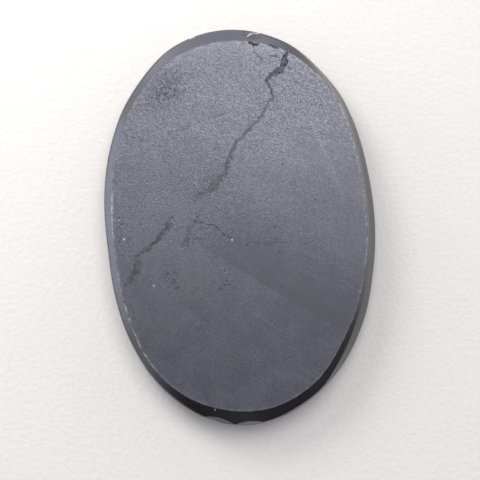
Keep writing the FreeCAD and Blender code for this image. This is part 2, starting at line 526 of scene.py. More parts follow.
class Wiring:
    """Adds nodes to one tree and joins them."""

    def __init__(self, tree: bpy.types.NodeTree) -> None:
        """Start on an empty tree."""
        self.tree = tree
        tree.nodes.clear()

    def node(self, kind: str, settings: dict | None = None,
             sockets: dict | None = None) -> bpy.types.Node:
        """Add a node.

        Args:
            kind: The node's type.
            settings: Properties to set on it.
            sockets: Values or outputs for its inputs, by name or number.

        Returns:
            The new node.
        """
        made = self.tree.nodes.new(kind)
        for name, value in (settings or {}).items():
            setattr(made, name, value)
        for name, value in (sockets or {}).items():
            if isinstance(value, Socket):
                self.tree.links.new(value, made.inputs[name])
            else:
                made.inputs[name].default_value = value
        return made

    def chain(self, operation: str, *terms: Term) -> Socket:
        """Return the terms joined in order by one kind of Math node.

        Args:
            operation: What the nodes do.
            terms: Numbers or outputs.

        Returns:
            The last node's output.
        """
        result, *others = terms
        for term in others:
            result = self.node("ShaderNodeMath", {"operation": operation}, {0: result, 1: term}).outputs[0]
        return result

    def plus(self, *terms: Term) -> Socket:
        """Return the sum of the terms."""
        return self.chain("ADD", *terms)

    def minus(self, *terms: Term) -> Socket:
        """Return the first term less all the others."""
        return self.chain("SUBTRACT", *terms)

    def times(self, *terms: Term) -> Socket:
        """Return the product of the terms."""
        return self.chain("MULTIPLY", *terms)

    def spread(self, value: Socket, low: float, high: float, to_low: float = 0.0,
               to_high: float = 1.0) -> Socket:
        """Map a value from one range to another, held at its ends.

        Args:
            value: What is mapped.
            low: Where the first range starts.
            high: Where it ends.
            to_low: What its start becomes.
            to_high: What its end becomes.

        Returns:
            The mapped value.
        """
        sockets = {"Value": value, "From Min": low, "From Max": high, "To Min": to_low, "To Max": to_high}
        made = self.node("ShaderNodeMapRange", {"interpolation_type": "SMOOTHSTEP"}, sockets)
        return made.outputs["Result"]

    def blend(self, share: Socket, first: Colour | Socket, second: Colour | Socket) -> Socket:
        """Return a mix of two colours."""
        made = self.node("ShaderNodeMix", {"data_type": "RGBA"}, {0: share, 6: first, 7: second})
        return made.outputs[2]

    def speckle(self, coordinates: Socket, size: float, detail: float = 2.0,
                roughness: float = 0.5) -> Socket:
        """Return a noise whose features are about as large as size, in the coordinates' own unit."""
        sockets = {"Vector": coordinates, "Scale": 1 / size, "Detail": detail, "Roughness": roughness}
        return self.node("ShaderNodeTexNoise", None, sockets).outputs[0]

    def painted(self, name: str) -> Socket:
        """Return a value painted on the piece's own points."""
        return self.node("ShaderNodeAttribute", {"attribute_name": name}).outputs["Fac"]

    def turned(self, coordinates: Socket, degrees: float, sizes: tuple[float, float, float]) -> Socket:
        """Return coordinates turned about the upright axis, then counted in long features.

        Args:
            coordinates: Coordinates in metres.
            degrees: How far they are turned.
            sizes: Millimetres that make one unit along each turned axis.

        Returns:
            The new coordinates.
        """
        mapping = ("ShaderNodeMapping", {"vector_type": "POINT"})
        turn = self.node(*mapping, {"Vector": coordinates, "Rotation": (0, 0, math.radians(degrees))})
        stretch = tuple(1 / (size * MM) for size in sizes)
        return self.node(*mapping, {"Vector": turn.outputs[0], "Scale": stretch}).outputs[0]

    def surface(self, height: Socket, rise: float, sockets: dict) -> None:
        """Close a material with a bumpy Principled surface.

        Args:
            height: The bump's height, as a share.
            rise: Height of a whole share in millimetres.
            sockets: The surface's other inputs.
        """
        bump = self.node("ShaderNodeBump", None, {"Height": height, "Distance": rise * MM, "Strength": 1.0})
        made = self.node("ShaderNodeBsdfPrincipled", None, sockets | {"Normal": bump.outputs[0]})
        self.node("ShaderNodeOutputMaterial", None, {"Surface": made.outputs[0]})


def new_material(name: str) -> tuple[bpy.types.Material, Wiring, Socket]:
    """Return an empty material, the wiring of its tree, and its Object coordinates.

    Args:
        name: The material's name.

    Returns:
        The three, in that order.
    """
    material = bpy.data.materials.new(name)
    material.use_nodes = True
    wiring = Wiring(material.node_tree)
    return material, wiring, wiring.node("ShaderNodeTexCoord").outputs["Object"]


def new_group(name: str, inputs: dict[str, str], outputs: Iterable[str]) -> bpy.types.NodeTree:
    """Make an empty shader group.

    Args:
        name: The group's name.
        inputs: Socket types by input name.
        outputs: Names of its number outputs.

    Returns:
        The group, whose sockets are ready.
    """
    group = bpy.data.node_groups.new(name, "ShaderNodeTree")
    for socket, kind in inputs.items():
        group.interface.new_socket(socket, in_out="INPUT", socket_type=kind)
    for socket in outputs:
        group.interface.new_socket(socket, in_out="OUTPUT", socket_type="NodeSocketFloat")
    return group


def grain_group() -> bpy.types.NodeTree:
    """Build the grain of the rock: a mottle, dark specks and a fine height.

    Returns:
        The group.
    """
    inputs = {"Coordinates": "NodeSocketVector", "Coarseness": "NodeSocketFloat"}
    group = new_group("Rock grain", inputs, ("Mottle", "Specks", "Height"))
    wiring = Wiring(group)
    given = wiring.node("NodeGroupInput").outputs
    where, coarse = given["Coordinates"], given["Coarseness"]
    fine = wiring.speckle(wiring.turned(where, 38.0, (0.32, 0.20, 0.30)), 1.0, 2.0, 0.65)
    medium = wiring.speckle(where, 1.0 * MM, 3.0, 0.6)
    broad = wiring.speckle(where, 6.0 * MM)
    gain = wiring.spread(coarse, 0.0, 1.0, 0.8, 3.2)
    mottle = wiring.plus(wiring.times(wiring.minus(fine, MIDDLE), gain),
                         wiring.times(wiring.minus(medium, MIDDLE), coarse),
                         wiring.times(wiring.minus(broad, MIDDLE), 0.25))
    dots = wiring.node("ShaderNodeTexVoronoi", None, {"Vector": where, "Scale": 1 / (0.9 * MM)})
    near_dot = wiring.spread(dots.outputs["Distance"], 0.22, 0.1)
    chosen = wiring.spread(wiring.speckle(where, 2.4 * MM, 1.0), 0.52, 0.66)
    specks = wiring.times(near_dot, chosen, coarse)
    height = wiring.plus(wiring.times(fine, gain), wiring.times(specks, -0.6))
    wiring.node("NodeGroupOutput", None, {"Mottle": mottle, "Specks": specks, "Height": height})
    return group


def honing_group() -> bpy.types.NodeTree:
    """Build the fine straight lines that honing leaves, as two families that cross.

    Returns:
        The group.
    """
    group = new_group("Honing lines", {"Coordinates": "NodeSocketVector"}, ("Lines",))
    wiring = Wiring(group)
    where = wiring.node("NodeGroupInput").outputs["Coordinates"]
    families = []
    for degrees, spacing, patch in ((37.0, 0.24, 9.0), (-62.0, 0.30, 7.0)):
        strokes = wiring.speckle(wiring.turned(where, degrees, (14.0, spacing, 4.0)), 1.0)
        patches = wiring.speckle(where, patch * MM, 1.0)
        families.append(wiring.times(wiring.spread(strokes, 0.56, 0.72), wiring.spread(patches, 0.42, 0.62)))
    lines = wiring.plus(families[0], wiring.times(families[1], 0.5))
    wiring.node("NodeGroupOutput", None, {"Lines": lines})
    return group


# Dark dust, also laid as painted shade in the steps at the north chip's foot.
DUST_AND_SHADE = colour(0.012, 0.008, 0.008)
# Bluish near-white of crushed stone, also laid as painted highlights and reflections on the rim's chips,
# scars, nicks and arris.
CRUSHED_AND_HIGHLIGHT = colour(0.50, 0.52, 0.56)
SHEEN = colour(0.84, 0.86, 1.0)


@dataclass(frozen=True)
class StoneFinish:
    """One way in which a surface of the stone is worked.

    Attributes:
        name: The material's name.
        dark: Colour of the dark grains.
        light: Colour of the light grains.
        warm: Colour of the light grains in its browner patches.
        roughness: Roughness of the surface.
        index: Index of refraction, which sets the strength of the sheen.
        grain: Height of the grain in millimetres.
        mottle: How strongly the grains differ in colour.
        lines: How strongly the honing lines show.
    """

    name: str
    dark: Colour
    light: Colour
    warm: Colour
    roughness: float
    index: float
    grain: float
    mottle: float
    lines: float

    def material(self, grain: bpy.types.NodeTree, honing: bpy.types.NodeTree) -> bpy.types.Material:
        """Build the material.

        Args:
            grain: The shared group of rock grain.
            honing: The shared group of honing lines.

        Returns:
            The finished material.
        """
        material, wiring, where = new_material(self.name)
        tone = wiring.painted("tone")
        rock = wiring.node("ShaderNodeGroup", {"node_tree": grain},
                           {"Coordinates": where, "Coarseness": wiring.painted("coarse")}).outputs
        lines = wiring.node("ShaderNodeGroup", {"node_tree": honing}, {"Coordinates": where}).outputs["Lines"]
        mottle = wiring.times(rock["Mottle"], self.mottle)
        shade = wiring.minus(wiring.plus(mottle, MIDDLE, tone, wiring.times(lines, self.lines)),
                             wiring.times(rock["Specks"], 0.5))
        patches = wiring.spread(wiring.speckle(where, 7.0 * MM, 3.0, 0.6), 0.42, 0.60)
        light = wiring.blend(patches, self.light, self.warm)
        base = wiring.blend(wiring.spread(shade, 0.0, 1.0), self.dark, light)
        in_hollows = wiring.spread(rock["Mottle"], 0.35, -0.35, 0.6, 1.0)
        # Painted shade: the stain share mixes in the dark dust colour, for dust in veins, smudges and cracks,
        # and for painted shade in the steps at the north chip's foot.
        stain_and_shade = wiring.times(wiring.painted("stain_and_shade"), in_hollows)
        base = wiring.blend(stain_and_shade, base, DUST_AND_SHADE)
        # Painted highlight: where the stone is painted lighter, specks of the base turn bluish near-white,
        # for crushed stone and for highlights and reflections on chipped edges, scars and the arris.
        broken = wiring.spread(wiring.speckle(where, 0.35 * MM), 0.3, 0.62)
        base = wiring.blend(wiring.times(wiring.painted("bruise_and_highlight"), broken), base, CRUSHED_AND_HIGHLIGHT)
        rough = wiring.plus(wiring.times(mottle, -0.10), self.roughness, wiring.times(tone, -0.25),
                            wiring.times(stain_and_shade, 0.60))
        wiring.surface(rock["Height"], self.grain, {"Base Color": base, "Roughness": rough,
                                                    "IOR": self.index, "Specular Tint": SHEEN})
        return material


class Zone(Enum):
    """The surfaces of the stone, in the order of its material slots."""

    HONED = 0
    BEVEL = 1
    WALL = 2
    BROKEN = 3


FINISHES = {
    Zone.HONED: StoneFinish(
        "honed_face", colour(0.005, 0.005, 0.006), colour(0.053, 0.058, 0.071), colour(0.056, 0.055, 0.062),
        roughness=0.345, index=1.95, grain=0.019, mottle=3.2, lines=0.60),
    Zone.BEVEL: StoneFinish(
        "ground_bevel", colour(0.002, 0.002, 0.002), colour(0.013, 0.011, 0.012), colour(0.015, 0.010, 0.009),
        roughness=0.26, index=1.95, grain=0.003, mottle=1.2, lines=0.30),
    Zone.WALL: StoneFinish(
        "sawn_wall", colour(0.010, 0.0095, 0.011), colour(0.028, 0.027, 0.032), colour(0.030, 0.026, 0.028),
        roughness=0.36, index=1.80, grain=0.006, mottle=0.8, lines=0.05),
    Zone.BROKEN: StoneFinish(
        "broken_stone", colour(0.018, 0.016, 0.018), colour(0.046, 0.045, 0.051), colour(0.046, 0.039, 0.041),
        roughness=0.40, index=1.60, grain=0.020, mottle=1.0, lines=0.0),
}


@dataclass(frozen=True)
class VeinFinish:
    """The crumbly brown mineral that fills the veins.

    Attributes:
        name: The material's name.
        dark: Colour of its dark crumbs.
        light: Colour of its light crumbs.
        roughness: Roughness before the crumbs add to it.
        index: Index of refraction, which sets the strength of the sheen.
        crumb_rise: Height of the crumbs in millimetres.
    """

    name: str = "vein_filling"
    dark: Colour = colour(0.007, 0.005, 0.006)
    light: Colour = colour(0.044, 0.039, 0.046)
    roughness: float = 0.55
    index: float = 1.82
    crumb_rise: float = 0.03

    def material(self) -> bpy.types.Material:
        """Build the material.

        Returns:
            The finished material.
        """
        material, wiring, where = new_material(self.name)
        tone = wiring.painted("tone")
        crumbs = wiring.speckle(where, 0.3 * MM, 3.0, 0.65)
        patches = wiring.speckle(where, 1.6 * MM)
        shade = wiring.plus(wiring.times(crumbs, 0.6), wiring.times(patches, 0.4), tone)
        base = wiring.blend(wiring.spread(shade, 0.36, 0.86), self.dark, self.light)
        rough = wiring.plus(wiring.times(crumbs, 0.15), self.roughness, wiring.times(tone, -0.45))
        wiring.surface(crumbs, self.crumb_rise, {"Base Color": base, "Roughness": rough,
                                                 "IOR": self.index, "Specular Tint": SHEEN})
        return material


# ---------------------------------------------------------------- meshes


def finish_piece(bm: bmesh.types.BMesh, name: str,
                 materials: Iterable[bpy.types.Material]) -> bpy.types.Object:
    """Turn a bmesh in millimetres into a finished object at the origin.

    Args:
        bm: The shape. It is freed.
        name: The piece's name.
        materials: Its materials, in slot order.

    Returns:
        The new object, linked to the scene.
    """
    bmesh.ops.recalc_face_normals(bm, faces=bm.faces)
    for face in bm.faces:
        face.smooth = True
    for edge in bm.edges:
        if edge.is_manifold:
            edge.smooth = edge.calc_face_angle() < SHARP_ANGLE
    bmesh.ops.scale(bm, vec=(MM, MM, MM), verts=bm.verts)
    mesh = bpy.data.meshes.new(name)
    bm.to_mesh(mesh)
    bm.free()
    piece = bpy.data.objects.new(name, mesh)
    bpy.context.scene.collection.objects.link(piece)
    for material in materials:
        mesh.materials.append(material)
    return piece


def read_places(bm: bmesh.types.BMesh) -> np.ndarray:
    """Return the places of a bmesh's points, one row each."""
    return np.array([vert.co[:] for vert in bm.verts])


def move_places(bm: bmesh.types.BMesh, places: np.ndarray) -> None:
    """Put a bmesh's points at new places."""
    for vert, place in zip(bm.verts, places):
        vert.co = place


def paint(mesh: bpy.types.Mesh, name: str, values: np.ndarray) -> None:
    """Store one number on each of a mesh's points, for its materials to read."""
    layer = mesh.attributes.new(name, "FLOAT", "POINT")
    layer.data.foreach_set("value", np.clip(values, -4, 4).astype(np.float32))


@dataclass(frozen=True)
class RimRow:
    """One row of points round the rim.

    Attributes:
        corner: Number of the profile corner above the row.
        share: How far the row is from that corner towards the next, 0 to 1.
        zone: Surface between this row and the one above it.
    """

    corner: int
    share: float
    zone: Zone


def rim_rows() -> list[RimRow]:
    """Return the rows of the rim below the top face, down to the edge of the base face.

    Returns:
        The rows, from the top down.
    """
    spans = (
        (0, (0.5,), Zone.BEVEL),
        (1, (0.0, 0.06, 0.25, 0.5, 0.75, 0.93), Zone.BEVEL),
        (2, (0.0, 0.07, 0.33, 0.66, 0.94), Zone.WALL),
        (3, (0.0, 0.06, 0.35, 0.7, 0.94), Zone.WALL),
        (4, (0.0, 0.08, 0.5, 0.92), Zone.BEVEL),
        (5, (0.0, 0.5, 1.0), Zone.BEVEL),
    )
    rows = []
    for corner, shares, zone in spans:
        for share in shares:
            upper = spans[corner - 1][2] if share == 0.0 and corner else zone
            rows.append(RimRow(corner, share, upper))
    return rows


HALO_PATCHES = Patchiness(0.75, 1.8, 0.7, 8.0, (0.0, 1.4))
CRACK_PATCHES = Patchiness(0.85, 1.5, 0.9, 9.0, (0.1, 1.0))
SMUDGE_PATCHES = Patchiness(0.8, 2.4, 0.8, 6.0, (0.0, 1.6))
ARRIS_PATCHES = Patchiness(0.55, 1.3, 1.3, 4.0)


@dataclass
class OvalStone:
    """The stone: a sawn and honed slab, bevelled by hand on both faces. Millimetres.

    Sizes given four at a time are for the east, north, west and south, or for the
    north-east, north-west, south-west and south-east quadrants where they are shoulders.

    Attributes:
        half_width: Half of the stone's width, from the CAD box.
        half_length: Half of its length, from the CAD box.
        thickness: Base face to top face, from the CAD box.
        veins: Middle lines of the veins that it is channelled for.
        channel_depth: Depth of those channels.
        channel_lip: Where a channel's wall starts and ends, past the seam's own width.
        girdle_height: Height of the widest line.
        crown_depth: Height of the top bevel.
        crown_insets: How far the top face's edge lies inside the box.
        crown_shoulders: Fullness of the top face's edge, as in Oval.
        foot_insets: How far the foot of the top bevel lies inside the box.
        foot_shoulders: Fullness of that foot.
        foot_facet: Bearings where the foot starts to run straight, does, stops doing so and ends.
        foot_clearance: Least distance from the foot in to the widest line.
        girdle_insets: How far the widest line lies inside the box.
        girdle_shoulders: Fullness of the widest line.
        wall_draft: How far the wall draws in from the widest line down to the lower bevel.
        base_bevel_width: Width of the lower bevel, seen from below.
        base_bevel_depth: Height of the lower bevel.
        arris_wear: Width of the worn edge of each face.
        arris_reach: How far from the top face's edge it is painted light, as crushed stone with a painted
            highlight.
        cells: Rows of faces across each flat face.
        detail_margins: How near a fine feature an edge is split, each time round.
        widest_shell_flake: Scoops of a greater radius leave broken stone and get fewer faces.
        girdle_swells: Where the widest line departs from its oval.
        crown_swells: Where the top face's edge departs from its oval.
        foot_rises: Where the foot of the top bevel lies higher.
        cracks: The hairline cracks, and the lips painted light as crushed stone with painted highlights.
        scoops: The flake scars, nicks and pits.
        clouds: The patches and bands of another shade.
        smudges: The brown smudges.
    """

    half_width: float
    half_length: float
    thickness: float
    veins: tuple[Seam, ...]
    channel_depth: float = 0.8
    channel_lip: tuple[float, float] = (-0.06, 0.05)
    girdle_height: float = 4.8
    crown_depth: float = 1.8
    crown_insets: FourSizes = (2.2, 3.45, 2.15, 3.8)
    crown_shoulders: FourSizes = (2.0, 2.8, 2.4, 6.4)
    foot_insets: FourSizes = (1.55, 0.9, 0.35, 1.1)
    foot_shoulders: FourSizes = (3.45, 3.75, 3.75, 6.9)
    foot_facet: FourSizes = (280.0, 296.0, 340.0, 358.0)
    foot_clearance: float = 0.08
    girdle_insets: FourSizes = (0.0, 0.4, 0.0, 0.4)
    girdle_shoulders: FourSizes = (3.45, 3.75, 3.75, 5.7)
    wall_draft: float = 0.35
    base_bevel_width: float = 1.9
    base_bevel_depth: float = 1.8
    arris_wear: float = 0.15
    arris_reach: float = 0.13
    cells: int = 138
    detail_margins: tuple[float, ...] = (0.62, 0.26, 0.05)
    widest_shell_flake: float = 5.0
    girdle_swells: tuple[Swell, ...] = (
        Swell(0, 30, -0.02), Swell(37, 18, 0.22), Swell(59, 14, -0.55), Swell(95, 22, 0.18),
        Swell(121, 15, -0.55), Swell(147, 24, 0.28), Swell(186, 24, -0.45), Swell(219, 14, 0.20),
        Swell(239, 14, -0.20), Swell(262, 17, 0.45), Swell(291, 18, -0.62), Swell(318, 22, 0.40),
        Swell(345, 18, 0.02), Swell(269, 7, 0.13),
    )
    crown_swells: tuple[Swell, ...] = (
        Swell(73, 14, 0.28), Swell(120, 16, -0.30), Swell(150, 17, 0.32), Swell(186, 22, -0.13),
        Swell(250, 15, 0.08), Swell(285, 12, -0.14), Swell(320, 12, 0.11),
    )
    foot_rises: tuple[Swell, ...] = (Swell(180, 90, 0.45), Swell(314, 54, 0.90))
    cracks: tuple[Crack, ...] = field(default_factory=tuple)
    scoops: tuple[Scoop, ...] = field(default_factory=tuple)
    clouds: tuple[Cloud | HoningPass, ...] = field(default_factory=tuple)
    smudges: tuple[Cloud, ...] = field(default_factory=tuple)

    def outline(self, insets: FourSizes, shoulders: FourSizes, swells: tuple[Swell, ...]) -> Oval:
        """Return an oval set in from the stone's box."""
        half = (self.half_width, self.half_length, self.half_width, self.half_length)
        return Oval(tuple(size - inset for size, inset in zip(half, insets)), shoulders, swells)

    def profile(self, bearings: np.ndarray) -> tuple[np.ndarray, np.ndarray]:
        """Work out the rim's corners.

        Args:
            bearings: Directions in radians.

        Returns:
            The corners' distances from the middle, one row for each corner from the top
            face's edge down to the base face's edge, and their heights.
        """
        top = self.outline(self.crown_insets, self.crown_shoulders, self.crown_swells).radius(bearings)
        foot = self.outline(self.foot_insets, self.foot_shoulders, ()).radius(bearings)
        girdle = self.outline(self.girdle_insets, self.girdle_shoulders, self.girdle_swells).radius(bearings)
        degrees = np.degrees(bearings) % 360
        starts, runs, stops, ends = self.foot_facet
        straight = smooth_step(degrees, starts, runs) * (1 - smooth_step(degrees, stops, ends))
        foot = foot + total(self.girdle_swells, bearings) * (1 - straight)
        low_wall = girdle - self.wall_draft
        base = low_wall - self.base_bevel_width
        radii = np.array([top - self.arris_wear, top, np.minimum(foot, girdle - self.foot_clearance), girdle,
                          low_wall, base, base - self.arris_wear])
        levels = (self.thickness, self.thickness - self.arris_wear, self.thickness - self.crown_depth,
                  self.girdle_height, self.base_bevel_depth, self.arris_wear, 0.0)
        heights = np.outer(levels, np.ones_like(bearings))
        heights[2] += total(self.foot_rises, bearings)
        return radii, heights

    def worn(self, levels: np.ndarray) -> np.ndarray:
        """Spread values at the profile's corners over the rim's rows, the corners worn round.

        Args:
            levels: One row of values for each corner.

        Returns:
            One row for each rim row.
        """
        rows = rim_rows()
        sharp = np.array([levels[row.corner] + (levels[row.corner + 1] - levels[row.corner]) * row.share
                          for row in rows])
        round_off = sharp.copy()
        for index in range(1, len(rows) - 1):
            if rows[index].share == 0.0:
                round_off[index] = (sharp[index - 1] + 2 * sharp[index] + sharp[index + 1]) / 4
        return round_off

    def rim_places(self, bearings: np.ndarray) -> list[np.ndarray]:
        """Return the places of each rim row's points.

        Args:
            bearings: Directions in radians, anticlockwise from east.

        Returns:
            For each rim row, one place for each bearing.
        """
        distances, heights = (self.worn(levels) for levels in self.profile(bearings))
        return [np.column_stack([distance * np.cos(bearings), distance * np.sin(bearings), height])
                for distance, height in zip(distances, heights)]

    def add_face(self, bm: bmesh.types.BMesh, height: float, corner: int) -> list[bmesh.types.BMVert]:
        """Add one flat face of the stone as a grid drawn out to its oval.

        Args:
            bm: The mesh to add to.
            height: The face's height.
            corner: Number of the profile corner at its edge.

        Returns:
            The points of the face.
        """
        verts = bmesh.ops.create_grid(bm, x_segments=self.cells, y_segments=self.cells, size=1)["verts"]
        across, along = np.array([vert.co[:2] for vert in verts]).T
        ring = np.maximum(np.abs(across), np.abs(along))
        sideways = np.abs(across) >= np.abs(along)
        longer, shorter = np.where(sideways, across, along), np.where(sideways, along, across)
        lean = math.pi / 4 * shorter / np.where(longer == 0, 1, longer)
        turn = np.where(sideways, lean, math.pi / 2 - lean)
        turn = np.where(longer < 0, turn + math.pi, turn)
        bearings = np.arctan2(self.half_length * np.sin(turn), self.half_width * np.cos(turn))
        distances = self.profile(bearings)[0][corner] * ring
        for vert, distance, bearing in zip(verts, distances, bearings):
            vert.co = (distance * math.cos(bearing), distance * math.sin(bearing), height)
        return verts

    def make_slab(self) -> bmesh.types.BMesh:
        """Return the closed slab: two faces joined by the rim's rows.

        Returns:
            The slab, in millimetres.
        """
        bm = bmesh.new()
        self.add_face(bm, self.thickness, 0)
        edges = [edge for edge in bm.edges if edge.is_boundary]
        for number, row in enumerate(rim_rows()):
            made = bmesh.ops.extrude_edge_only(bm, edges=edges)["geom"]
            verts = [item for item in made if isinstance(item, bmesh.types.BMVert)]
            for face in (item for item in made if isinstance(item, bmesh.types.BMFace)):
                face.material_index = row.zone.value
            edges = [item for item in made if isinstance(item, bmesh.types.BMEdge) and item.is_boundary]
            bearings = np.array([math.atan2(vert.co.y, vert.co.x) for vert in verts])
            for vert, place in zip(verts, self.rim_places(bearings)[number]):
                vert.co = place
        base = self.add_face(bm, 0.0, 6)
        on_base, weld = 0.001, 0.004
        rim = [vert for vert in bm.verts if vert.co.z < on_base]
        bmesh.ops.remove_doubles(bm, verts=list(set(rim + base)), dist=weld)
        return bm

    def near_detail(self, places: np.ndarray, margin: float) -> np.ndarray:
        """Tell which places are close enough to a fine feature to need small faces.

        Args:
            places: Points in millimetres, one row each.
            margin: How close is close enough, in millimetres.

        Returns:
            True where a place is close enough.
        """
        depth = self.thickness - places[:, 2]
        near = np.zeros(len(places), bool)
        for seam in self.veins:
            near |= (depth < CUT_SKIN) & (seam.beside(places)[0] < margin)
        for crack in self.cracks:
            near |= (depth < crack.reach) & (crack.seam.beside(places)[0] < margin)
        for scoop in self.scoops:
            if scoop.radius < self.widest_shell_flake or margin > self.detail_margins[-1]:
                near |= scoop.inside(places) > -margin
        return near

    def refine(self, bm: bmesh.types.BMesh) -> None:
        """Split the edges near fine features, closer in each time.

        Args:
            bm: The slab, changed in place.
        """
        for margin in self.detail_margins:
            middles = np.array([((edge.verts[0].co + edge.verts[1].co) / 2)[:] for edge in bm.edges])
            chosen = self.near_detail(middles, margin)
            edges = [edge for edge, wanted in zip(bm.edges, chosen) if wanted]
            bmesh.ops.subdivide_edges(bm, edges=edges, cuts=1, use_grid_fill=True)

    def carve(self, bm: bmesh.types.BMesh) -> None:
        """Cut the channels, cracks and scoops, and mark what the larger scoops broke.

        Args:
            bm: The refined slab, changed in place.
        """
        places = read_places(bm)
        on_top = places[:, 2] > self.thickness - CUT_SKIN
        for seam in self.veins:
            within = 1 - smooth_step(seam.beside(places)[0], *self.channel_lip)
            places[:, 2] -= on_top * self.channel_depth * within
        for crack in self.cracks:
            places[:, 2] -= on_top * crack.cut(places)
        bm.verts.index_update()
        for scoop in self.scoops:
            bitten = set(scoop.cut(places).tolist())
            if scoop.radius > self.widest_shell_flake:
                for face in bm.faces:
                    if all(vert.index in bitten for vert in face.verts):
                        face.material_index = Zone.BROKEN.value
        move_places(bm, places)

    def vein_dust(self, places: np.ndarray) -> np.ndarray:
        """Return how far the veins' dust has stained the stone beside them, 0 to 1.

        Args:
            places: Points in millimetres, one row each.

        Returns:
            One number for each place.
        """
        stain_and_shade = np.zeros(len(places))
        upper = places[:, 2] > self.thickness - MARK_SKIN
        for seam, (spread, strength) in zip(self.veins, VEIN_HALOES):
            outside, share = seam.beside(places)
            fade, width = (np.interp(share, (0, 0.5, 1), values) for values in (strength, spread))
            halo = upper * fade * np.exp(-(np.maximum(outside, 0) / width) ** 2)
            stain_and_shade = np.maximum(stain_and_shade, HALO_PATCHES.over(halo, places))
        return stain_and_shade

    def arris_bruise_and_highlight(self, places: np.ndarray) -> np.ndarray:
        """Return how light the top face's edge is painted, 0 to 1: crushed stone and a painted highlight
        along the worn arris.

        Args:
            places: Points in millimetres, one row each.

        Returns:
            One number for each place.
        """
        bearings = np.arctan2(places[:, 1], places[:, 0])
        radii, heights = self.profile(bearings)
        out = np.hypot(places[:, 0], places[:, 1]) - (radii[0] + radii[1]) / 2
        up = places[:, 2] - (heights[0] + heights[1]) / 2
        # Painted highlight: the worn arris is painted lighter, partly crushed stone, partly a highlight.
        worn = np.exp(-(out**2 + up**2) / self.arris_reach**2) * edge_wear_and_highlight(bearings)
        return ARRIS_PATCHES.over(worn, places)

    def coarseness(self, places: np.ndarray) -> np.ndarray:
        """Return how coarse the grain is: most in the north, but less so at the very end.

        Args:
            places: Points in millimetres, one row each.

        Returns:
            One number for each place, 0 to 1.
        """
        east, north = places[:, 0] / self.half_width, places[:, 1] / self.half_length
        coarse = smooth_step(0.80 * north - 0.22 * east, -0.55, 0.66)
        polished_end = 0.65 * smooth_step(north, 0.70, 0.92)
        polished_patch = Cloud(2.0, 34.0, 6.5, 5.0, 0.0, 0.55).shade(places)
        return coarse * (1 - polished_end) * (1 - polished_patch)

    def paint_marks(self, mesh: bpy.types.Mesh) -> None:
        """Store on the points its painted stains and shade, its painted bruises and highlights, its tone and
        how coarse the stone is there.

        Args:
            mesh: The stone's mesh, in metres.
        """
        places = np.zeros(len(mesh.vertices) * 3)
        mesh.vertices.foreach_get("co", places)
        places = places.reshape(-1, 3) / MM
        stain_and_shade, bruise_and_highlight = self.vein_dust(places), self.arris_bruise_and_highlight(places)
        # Cracks paint their dust darker, with painted shade at the north chip's foot, and their lips lighter,
        # as crushed stone with painted highlights.
        for crack in self.cracks:
            line = crack.shown(places, self.thickness)
            bruise_and_highlight = np.maximum(bruise_and_highlight, crack.bruise_and_highlight * line)
            stain_and_shade = np.maximum(stain_and_shade, crack.stain_and_shade * CRACK_PATCHES.over(line, places))
        upper = places[:, 2] > self.thickness - MARK_SKIN
        for smudge in self.smudges:
            spot = SMUDGE_PATCHES.over(upper * smudge.shade(places), places)
            stain_and_shade = np.maximum(stain_and_shade, np.minimum(spot, 1))
        # Scoops paint their stone lighter, as crushed stone with painted highlights and, on the wide south
        # scars, a painted reflection of the paper; and darker with dust.
        for scoop in self.scoops:
            reached = smooth_step(scoop.inside(places), -0.07, 0.0)
            bruise_and_highlight = np.maximum(bruise_and_highlight, scoop.bruise_and_highlight * reached)
            stain_and_shade = np.maximum(stain_and_shade, scoop.dust * reached)
        tone = sum((cloud.shade(places) for cloud in self.clouds), np.zeros(len(places)))
        paint(mesh, "stain_and_shade", stain_and_shade)
        paint(mesh, "bruise_and_highlight", bruise_and_highlight)
        paint(mesh, "tone", tone)
        paint(mesh, "coarse", self.coarseness(places))

    def build(self, finishes: Iterable[bpy.types.Material]) -> bpy.types.Object:
        """Model and dress the stone.

        Args:
            finishes: Its materials, in the order of Zone.

        Returns:
            The finished piece.
        """
        bm = self.make_slab()
        self.refine(bm)
        self.carve(bm)
        piece = finish_piece(bm, "honed_stone", finishes)
        self.paint_marks(piece.data)
        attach(piece, "root")
        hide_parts("stone_body")
        return piece


def edge_wear_and_highlight(bearings: np.ndarray) -> np.ndarray:
    """Return how strongly the top face's edge is painted light, as wear and a painted highlight: most on the
    west side, least at the ends.

    Args:
        bearings: Directions in radians, anticlockwise from east.

    Returns:
        One share for each bearing.
    """
    degrees = np.degrees(bearings) % 360
    from_east = np.abs((degrees - 15 + 180) % 360 - 180)
    from_west = np.abs(degrees - 195)
    return 0.25 + 0.45 * (1 - smooth_step(from_east, 25, 60)) + 0.65 * (1 - smooth_step(from_west, 25, 50))


